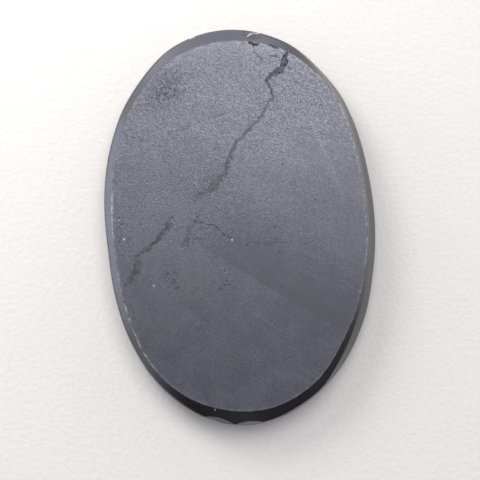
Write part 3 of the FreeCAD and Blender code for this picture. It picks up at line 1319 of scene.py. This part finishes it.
@dataclass(frozen=True)
class MineralVein:
    """The mineral that fills one channel of the stone, crumbled a little below its face.

    Attributes:
        node: The CAD node that it stands for.
        seam: Its middle line and widths.
        floor: Height of the channel's floor.
        surface: Height of the filling's surface.
        tones: How much lighter the filling is from its start to its end, as shares.
        crumble: How uneven the surface is, in millimetres.
        crest: Height above the surface that no crumb passes, in millimetres.
        lap: How far the filling reaches past the channel's walls, in millimetres.
        lanes: Rows of faces across it.
        knots: How much its shade changes from place to place.
        knot_size: Size of those changes in millimetres.
    """

    node: str
    seam: Seam
    floor: float
    surface: float
    tones: tuple[float, ...] = (0.0,)
    crumble: float = 0.02
    crest: float = 0.015
    lap: float = 0.18
    lanes: int = 6
    knots: float = 0.45
    knot_size: float = 0.9

    def build(self, finish: bpy.types.Material) -> bpy.types.Object:
        """Model and dress the vein.

        Args:
            finish: The vein's material.

        Returns:
            The finished piece.
        """
        line = self.seam.course()
        ahead = np.gradient(line[:, :2], axis=0)
        ahead /= np.linalg.norm(ahead, axis=1, keepdims=True)
        leftward = np.column_stack([-ahead[:, 1], ahead[:, 0]])
        bm = bmesh.new()
        tone_layer = bm.verts.layers.float.new("tone")
        segments = len(line) - 1
        verts = bmesh.ops.create_grid(bm, x_segments=segments, y_segments=self.lanes, size=1)["verts"]
        for vert in verts:
            station = round((vert.co.x + 1) / 2 * segments)
            side = vert.co.y
            width = line[station, 2] if side > 0 else line[station, 3]
            place = line[station, :2] + leftward[station] * side * (width + self.lap)
            vert.co = (*place, self.floor)
            tone = float(np.interp(station / segments, np.linspace(0, 1, len(self.tones)), self.tones))
            vert[tone_layer] = tone + self.knots * noise.noise(vert.co / self.knot_size) * (1 - abs(tone))
        made = bmesh.ops.extrude_face_region(bm, geom=bm.faces[:])["geom"]
        top = [item for item in made if isinstance(item, bmesh.types.BMVert)]
        for vert in top:
            rough = noise.noise(vert.co / 0.35) + 0.5 * noise.noise(vert.co / 0.15)
            vert.co.z = self.surface + min(self.crumble * rough, self.crest)
        piece = finish_piece(bm, f"{self.node}_filling", [finish])
        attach(piece, "root")
        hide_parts(self.node)
        return piece


# ---------------------------------------------------------------- studio


@dataclass(frozen=True)
class PaperSheet:
    """The pale, faintly textured paper that the stone rests on.

    Attributes:
        size: Width and length in metres.
        tint: Its colour.
        light_tint: Colour of the high parts of its texture.
        tooth: Size of the texture's features in millimetres.
        tooth_rise: Height of the texture in millimetres.
        roughness: Roughness of the paper.
    """

    size: float = 6.0
    tint: Colour = colour(0.682, 0.662, 0.633)
    light_tint: Colour = colour(0.706, 0.685, 0.655)
    tooth: float = 1.1
    tooth_rise: float = 0.13
    roughness: float = 0.9

    def build(self) -> bpy.types.Object:
        """Model and dress the paper.

        Returns:
            The sheet, linked to the scene.
        """
        bm = bmesh.new()
        bmesh.ops.create_grid(bm, x_segments=8, y_segments=8, size=self.size / 2)
        mesh = bpy.data.meshes.new("paper_sheet")
        bm.to_mesh(mesh)
        bm.free()
        sheet = bpy.data.objects.new("paper_sheet", mesh)
        bpy.context.scene.collection.objects.link(sheet)
        mesh.materials.append(self.material())
        return sheet

    def material(self) -> bpy.types.Material:
        """Build the paper's material.

        Returns:
            The finished material.
        """
        material, wiring, where = new_material("paper")
        tooth = wiring.speckle(where, self.tooth * MM, 4.0, 0.6)
        base = wiring.blend(wiring.spread(tooth, 0.3, 0.7), self.tint, self.light_tint)
        wiring.surface(tooth, self.tooth_rise, {"Base Color": base, "Roughness": self.roughness})
        return material


@dataclass(frozen=True)
class SoftLamp:
    """A round soft lamp that faces the stone.

    Attributes:
        name: The lamp's name.
        place: Where it hangs, in metres.
        size: Its width in metres.
        strength: Light that it sends to the stone, as radiance times solid angle.
        tint: Its colour.
    """

    name: str
    place: tuple[float, float, float]
    size: float
    strength: float
    tint: tuple[float, float, float]

    def build(self) -> None:
        """Hang the lamp."""
        lamp = bpy.data.lights.new(self.name, "AREA")
        lamp.shape = "DISK"
        lamp.size = self.size
        lamp.color = self.tint
        lamp.energy = self.strength * math.pi * Vector(self.place).length_squared
        holder = bpy.data.objects.new(self.name, lamp)
        holder.location = self.place
        holder.rotation_euler = (-Vector(self.place)).to_track_quat("-Z", "Y").to_euler()
        bpy.context.scene.collection.objects.link(holder)


@dataclass(frozen=True)
class Studio:
    """Plain soft light and the camera that looks down on the stone.

    Attributes:
        lamps: The soft lamps.
        overhead: Light from straight above.
        walls: Light from the sides.
        bright_wall: Light from the brightest side.
        dark_end: Light from the darkest side.
        dark_bearing: Where the darkest side is, in degrees anticlockwise from east.
        bright_bearing: Where the brightest side is.
        bright_edge: Cosines of the bearing between which the brightest side comes up.
        dark_edge: Cosines between which the darkest side comes up.
        wall_top: Heights of a direction between which the sides give way to the overhead light.
        dark_climb: How much higher that change is over the darkest side.
        camera_place: Where the camera is, in metres.
        camera_turn: How far it is turned about the upright axis, in degrees.
        lens: Its focal length in millimetres, on a sensor 36 mm wide.
    """

    lamps: tuple[SoftLamp, ...] = (
        SoftLamp("ceiling_lamp", (0.050, 0.172, 0.418), 0.28, 1.74, (1.0, 0.985, 0.965)),
        SoftLamp("window_lamp", (-0.135, 0.190, 0.190), 0.13, 1.60, (1.0, 0.98, 0.955)),
    )
    overhead: Colour = colour(0.42, 0.43, 0.49)
    walls: Colour = colour(2.05, 2.04, 2.13)
    bright_wall: Colour = colour(2.78, 2.82, 3.00)
    dark_end: Colour = colour(0.024, 0.015, 0.014)
    dark_bearing: float = 275.0
    bright_bearing: float = 155.0
    bright_edge: tuple[float, float] = (0.70, 0.98)
    dark_edge: tuple[float, float] = (0.05, 0.60)
    wall_top: tuple[float, float] = (0.30, 0.54)
    dark_climb: float = 0.08
    camera_place: tuple[float, float, float] = (-0.00017, -0.00286, 0.2693)
    camera_turn: float = -3.92
    lens: float = 88.66

    def build(self) -> None:
        """Set the lamps, the sky and the camera."""
        for lamp in self.lamps:
            lamp.build()
        self.make_sky()
        self.make_camera()
        bpy.context.scene.view_settings.view_transform = "Standard"

    def make_sky(self) -> None:
        """Light the room from its sides, brightest in the north-west and dark in the south."""
        world = bpy.data.worlds.new("room")
        world.use_nodes = True
        wiring = Wiring(world.node_tree)
        where = wiring.node("ShaderNodeTexCoord").outputs["Generated"]
        parts = wiring.node("ShaderNodeSeparateXYZ", None, {0: where}).outputs
        to_dark, to_bright = (self.towards(wiring, parts, bearing)
                              for bearing in (self.dark_bearing, self.bright_bearing))
        side = wiring.blend(wiring.spread(to_bright, *self.bright_edge), self.walls, self.bright_wall)
        shaded = wiring.spread(to_dark, *self.dark_edge)
        level = wiring.blend(shaded, side, self.dark_end)
        climb = wiring.minus(parts["Z"], wiring.times(shaded, self.dark_climb))
        room = wiring.blend(wiring.spread(climb, *self.wall_top), level, self.overhead)
        sky = wiring.node("ShaderNodeBackground", None, {"Color": room, "Strength": 1.0})
        wiring.node("ShaderNodeOutputWorld", None, {"Surface": sky.outputs[0]})
        bpy.context.scene.world = world

    @staticmethod
    def towards(wiring: Wiring, parts: bpy.types.NodeOutputs, bearing: float) -> Socket:
        """Return how nearly a direction points to a bearing, 1 where it does.

        Args:
            wiring: The tree to add to.
            parts: The direction's X, Y and Z.
            bearing: Degrees anticlockwise from east.

        Returns:
            The cosine of the angle between them.
        """
        turn = math.radians(bearing)
        return wiring.plus(wiring.times(parts["X"], math.cos(turn)), wiring.times(parts["Y"], math.sin(turn)))

    def make_camera(self) -> None:
        """Set the camera above the stone, looking straight down."""
        camera = bpy.data.cameras.new("camera")
        camera.lens = self.lens
        camera.sensor_width = 36.0
        camera.clip_start = 0.01
        holder = bpy.data.objects.new("camera", camera)
        holder.location = self.camera_place
        holder.rotation_euler = (0, 0, math.radians(self.camera_turn))
        bpy.context.scene.collection.objects.link(holder)
        bpy.context.scene.camera = holder


# ---------------------------------------------------------------- the stone's own marks

UPPER_VEIN = Seam((
    (13.0, 37.5, 0.05, 0.06), (12.6, 36.7, 0.38, 0.32), (12.2, 35.7, 0.40, 0.47),
    (12.0, 34.5, 0.79, 0.38), (10.7, 33.6, 0.38, 0.29), (8.7, 32.7, 0.21, 0.20),
    (8.0, 31.6, 0.12, 0.17), (8.7, 30.0, 0.11, 0.12), (8.8, 28.3, 0.16, 0.11),
    (8.0, 26.4, 0.11, 0.16), (7.4, 25.1, 0.09, 0.09), (5.8, 23.4, 0.11, 0.08),
    (4.1, 21.8, 0.08, 0.12), (2.5, 20.2, 0.12, 0.11), (0.6, 18.3, 0.11, 0.14),
    (-0.4, 17.1, 0.08, 0.09), (-1.1, 15.9, 0.14, 0.11), (-1.7, 14.1, 0.10, 0.12),
    (-2.2, 12.4, 0.11, 0.10), (-3.4, 11.0, 0.08, 0.08), (-5.1, 9.3, 0.07, 0.10),
    (-6.9, 8.3, 0.06, 0.07), (-8.9, 7.5, 0.04, 0.04),
), jitter=0.55, seed=1.0)
LOWER_VEIN = Seam((
    (-15.0, 3.3, 0.07, 0.07), (-15.3, 1.9, 0.29, 0.22), (-16.0, 0.7, 0.24, 0.26),
    (-17.0, -0.6, 0.22, 0.27), (-18.2, -1.6, 0.24, 0.22), (-19.8, -2.8, 0.26, 0.23),
    (-21.4, -4.0, 0.30, 0.26), (-22.6, -4.9, 0.24, 0.32), (-23.1, -5.9, 0.26, 0.29),
    (-23.2, -7.3, 0.35, 0.27), (-24.0, -8.7, 0.26, 0.33), (-25.0, -10.0, 0.20, 0.23),
    (-26.0, -10.9, 0.09, 0.09),
), jitter=0.50, seed=2.0)
BRANCH_VEIN = Seam((
    (-9.1, 2.5, 0.08, 0.08), (-10.0, 1.4, 0.18, 0.21), (-11.0, 0.5, 0.21, 0.18),
    (-11.5, -0.5, 0.16, 0.21), (-11.8, -1.7, 0.19, 0.16), (-12.8, -3.4, 0.08, 0.08),
), jitter=0.35, seed=3.0)
VEINS = {"upper_vein": UPPER_VEIN, "lower_vein": LOWER_VEIN, "branch_vein": BRANCH_VEIN}
FILLING_DROP = 0.02
# For each vein: how far its dust has spread and how dark it is, at its start, middle and end.
VEIN_HALOES = (
    ((0.20, 0.18, 0.80), (0.80, 0.45, 0.60)),
    ((0.55, 0.50, 0.70), (0.65, 0.65, 0.75)),
    ((0.40, 0.40, 0.50), (0.60, 0.55, 0.50)),
)
VEIN_TONES = {
    "upper_vein": (0.0, -0.05, 0.05, 0.10, 0.22, 0.16, 0.12, 0.10, 0.20, 0.28),
    "lower_vein": (0.12, 0.02, 0.05, 0.10),
    "branch_vein": (0.15, 0.10, 0.20),
}


def hairline_cracks() -> tuple[Crack, ...]:
    """Return the hairline cracks of the top face and the lips of its rim painted light, as crushed stone with
    painted highlights.

    Returns:
        The dark ones first, dust with some painted shade, then the lips painted light.
    """
    thin, dot, stout = 0.06, 0.10, 0.14
    edge, bevel_foot, scar_floor, wall_top = 0.8, 2.0, 3.2, 3.8
    across_band = (
        (-11.0, 0.6), (-9.4, 1.3), (-7.6, 1.2), (-5.5, 0.4), (-4.0, -0.8), (-2.8, -2.0), (-1.5, -2.9),
    )
    hook = ((-12.4, -1.3), (-11.3, -1.6), (-11.6, -2.6), (-12.2, -3.4), (-14.3, -3.6))
    stained = (
        Crack(hairline(across_band, thin, 11), 0.03, 0.9),
        Crack(hairline(((0.9, -3.5), (4.6, -4.2), (7.4, -4.2), (12.9, -4.4)), thin, 12), 0.012, 0.6),
        Crack(hairline(((-24.9, 22.3), (-21.7, 21.1), (-18.4, 20.0)), thin, 13), 0.01, 0.6),
        Crack(hairline(((-15.5, 20.9), (-7.2, 23.5), (1.8, 25.9)), thin, 14, 0.2), 0.006, 0.5),
        Crack(hairline(((5.2, 39.6), (6.3, 37.5), (8.0, 35.4)), thin, 15), 0.01, 0.65),
        Crack(hairline(((9.4, 37.1), (10.2, 36.6), (11.1, 36.1)), thin, 16), 0.02, 0.9),
        Crack(hairline(hook, 0.13, 24, 0.3), 0.02, 1.0),
        # The two stout cracks by the north chip are painted near-black: dust in the crack, and painted shade
        # in the step at the scar's foot.
        Crack(hairline(((4.4, 40.7), (5.2, 40.0), (6.0, 39.8), (6.9, 39.8)), stout, 17),
              0.20, 1.0, reach=edge),
        Crack(hairline(((9.0, 39.5), (10.2, 39.1), (11.6, 38.5)), stout, 18), 0.16, 1.0, reach=edge),
    )
    # Lips painted near-white: crushed stone, and painted highlights on the north chip's crescent, a nick, an
    # arris dot and a spot on the south wall.
    crushed_and_highlit = (
        (((4.3, 41.6), (4.7, 42.1), (5.6, 42.5), (7.8, 42.6)), 0.08, 19, 0.1, 1.0, scar_floor),
        (((-8.4, 42.2), (-7.6, 42.5), (-7.0, 42.7)), 0.12, 20, 0.1, 1.0, bevel_foot),
        (((-8.4, -39.6), (-8.0, -39.7)), dot, 25, 0.0, 1.0, edge),
        (((-6.4, -43.5), (-5.9, -43.6)), dot, 21, 0.0, 0.8, wall_top),
    )
    return stained + tuple(Crack(hairline(places, half_width, seed, jitter), 0.0, 0.0, bruise_and_highlight, reach)
                           for places, half_width, seed, jitter, bruise_and_highlight, reach in crushed_and_highlit)


def surface_scoops(half_length: float, thickness: float) -> tuple[Scoop, ...]:
    """Return the flake scars, nicks and pits.

    Args:
        half_length: Half of the stone's length in millimetres.
        thickness: The stone's thickness in millimetres.

    Returns:
        One scoop for each, the flake scars of both ends first.
    """
    scoops = [
        Scoop(6.1, half_length + 0.5, thickness + 1.5, 4.5, 0.0, 0.03),
        Scoop(-13.7, -half_length - 8.8, thickness - 3.5, 12.0, 0.0, 0.01),
        # The two wide south scars are painted lighter: crushed stone, and a painted reflection of the paper
        # on their steep facets.
        Scoop(-0.6, -half_length - 16.5, thickness + 8.1, 20.3, 0.30, 0.002),
        Scoop(-12.9, -half_length - 14.8, thickness + 8.0, 20.5, 0.06, 0.004),
    ]
    notches = ((-26.8, -14.6), (-26.3, -17.1), (-25.2, -20.9))
    scoops += [Scoop(east, north, thickness + 0.25, 0.45, dust=0.8) for east, north in notches]
    nicks = (
        (-1.9, -2.7, 0.15, 0.05, 0.9), (-4.5, -8.7, 0.13, 0.04, 0.7), (-3.7, -9.8, 0.12, 0.04, 0.8),
        (-19.7, -11.6, 0.15, 0.05, 0.9), (-25.6, -0.9, 0.20, 0.06, 0.7), (-26.4, 3.4, 0.15, 0.05, 0.6),
        (2.4, 40.4, 0.26, 0.06, 1.0), (16.9, 4.8, 0.20, 0.07, 0.0), (9.0, -29.5, 0.22, 0.07, 0.0),
        (19.9, -6.4, 0.18, 0.06, 0.0),
    )
    scoops += [pit(east, north, thickness, *size) for east, north, *size in nicks]
    dice = np.random.default_rng(7)
    # Each field of pits: its middle, its half width and half length, and how many it holds.
    fields = ((-26.0, -0.6, 1.0, 3.6, 20), (-16.6, -9.2, 2.2, 2.9, 30), (-4.1, -11.6, 1.3, 3.2, 20),
              (8.0, -4.0, 11.0, 14.0, 16), (-14.0, 30.0, 5.0, 5.0, 18))
    scatter, depth_share = 0.6, 0.42
    for east, north, width, length, number in fields:
        for _ in range(number):
            across, along, size = dice.normal(), dice.normal(), dice.uniform(0.11, 0.20)
            place = (east + scatter * width * across, north + scatter * length * along)
            scoops.append(pit(*place, thickness, size, depth_share * size))
    return tuple(scoops)


def face_shades() -> tuple[Cloud | HoningPass, ...]:
    """Return the honing bands, the honing streaks and the patches of the top face.

    Returns:
        The bands and streaks first, then the patches.
    """
    passes = (
        ((-13.1, -0.9), (24.0, -26.2), 4.5, 0.0, -0.16),
        ((-13.1, -0.9), (24.0, -26.2), 15.0, 0.0, -0.30), ((0.0, 5.5), (27.0, -11.0), 12.0, 0.0, 0.14),
        ((8.7, -8.3), (24.9, -16.7), 0.6, 0.15, 0.34), ((5.9, -10.9), (21.8, -20.2), 0.6, 0.15, 0.24),
        ((2.0, -12.6), (20.0, -24.0), 0.6, 0.15, 0.20), ((10.0, -4.5), (26.0, -12.5), 0.6, 0.15, 0.22),
        ((-20.0, 24.0), (20.0, 10.0), 9.0, 0.0, 0.10), ((16.0, 24.7), (20.7, 12.3), 0.7, 0.2, 0.46),
        ((20.7, 12.3), (23.4, 3.3), 0.7, 0.2, 0.42), ((-13.9, -9.6), (-1.4, -20.4), 0.5, 0.2, -0.18),
    )
    clouds = (
        (-14.0, 31.5, 6.0, 3.8, 35, -0.30), (-22.0, 12.0, 7.0, 5.0, 60, -0.10),
        (14.0, 26.0, 12.0, 9.0, 60, 0.14), (4.0, -4.0, 20.0, 12.0, -35, -0.32),
        (20.0, 3.0, 9.0, 8.0, 0, -0.20), (-8.0, 12.0, 9.0, 7.0, 20, -0.22),
        (2.0, 35.0, 9.0, 5.0, 0, -0.18), (18.0, -18.0, 12.0, 10.0, -35, -0.22),
        (12.0, -30.0, 14.0, 11.0, 30, -0.16), (-24.0, 3.0, 7.0, 6.0, 80, 0.16),
        (-13.5, -6.0, 8.0, 6.0, -20, 0.14),
    )
    return tuple(HoningPass(*sizes) for sizes in passes) + tuple(Cloud(*sizes) for sizes in clouds)


def face_smudges() -> tuple[Cloud, ...]:
    """Return the brown smudges that cling to the pitted parts of the top face.

    Returns:
        One cloud for each, whose tone is how dark its dust is.
    """
    smudges = (
        (-16.2, -9.6, 2.6, 1.7, 20, 0.7), (-15.3, -12.2, 2.2, 1.2, -40, 0.9),
        (-11.0, -14.0, 1.8, 0.8, 10, 0.6), (-23.6, -8.6, 2.8, 1.4, 60, 0.9),
        (-22.9, -6.6, 1.7, 1.0, 60, 1.0), (-25.0, -10.6, 1.7, 0.8, 45, 1.0),
        (-19.5, -2.9, 4.5, 1.0, 40, 0.4), (-15.6, -10.6, 1.7, 1.1, 20, 1.0),
        (-14.4, -12.3, 1.0, 0.6, -50, 1.0), (-16.4, -13.4, 0.8, 0.5, 70, 0.9),
        (-5.4, -13.4, 1.2, 0.8, 30, 0.7), (-9.8, -2.4, 2.6, 0.7, 40, 0.7),
        (-24.0, -2.5, 3.0, 1.4, 80, 0.4), (-24.8, -17.5, 4.0, 1.0, 100, 0.7),
        (-14.5, 31.0, 6.0, 3.6, 35, 0.35), (-23.0, 6.0, 7.0, 3.0, 70, 0.25),
        (-4.6, 10.4, 4.0, 1.5, 45, 0.4), (7.3, 25.8, 0.6, 0.4, 40, 0.9),
        (-2.2, 12.3, 0.7, 0.45, 45, 0.9), (13.2, 34.1, 0.7, 0.3, 0, 0.9),
        (-0.3, 16.7, 0.9, 0.5, 50, 0.6),
    )
    return tuple(Cloud(*sizes) for sizes in smudges)


def main() -> None:
    """Build the stone, its veins and the studio."""
    logging.basicConfig(level=logging.INFO, format="%(name)s: %(message)s")
    half_width, half_length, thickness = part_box("stone_body")[1] / MM
    grain, honing = grain_group(), honing_group()
    stone = OvalStone(half_width, half_length, thickness, tuple(VEINS.values()),
                      cracks=hairline_cracks(), scoops=surface_scoops(half_length, thickness),
                      clouds=face_shades(), smudges=face_smudges())
    pieces = [stone.build(FINISHES[zone].material(grain, honing) for zone in Zone)]
    filling = VeinFinish().material()
    for node, seam in VEINS.items():
        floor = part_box(node)[0].z / MM
        vein = MineralVein(node, seam, floor, thickness - FILLING_DROP, VEIN_TONES[node])
        pieces.append(vein.build(filling))
    for piece in pieces:
        log.info("%s: %d faces", piece.name, len(piece.data.polygons))
    PaperSheet().build()
    Studio().build()


if __name__ == "__main__":
    main()
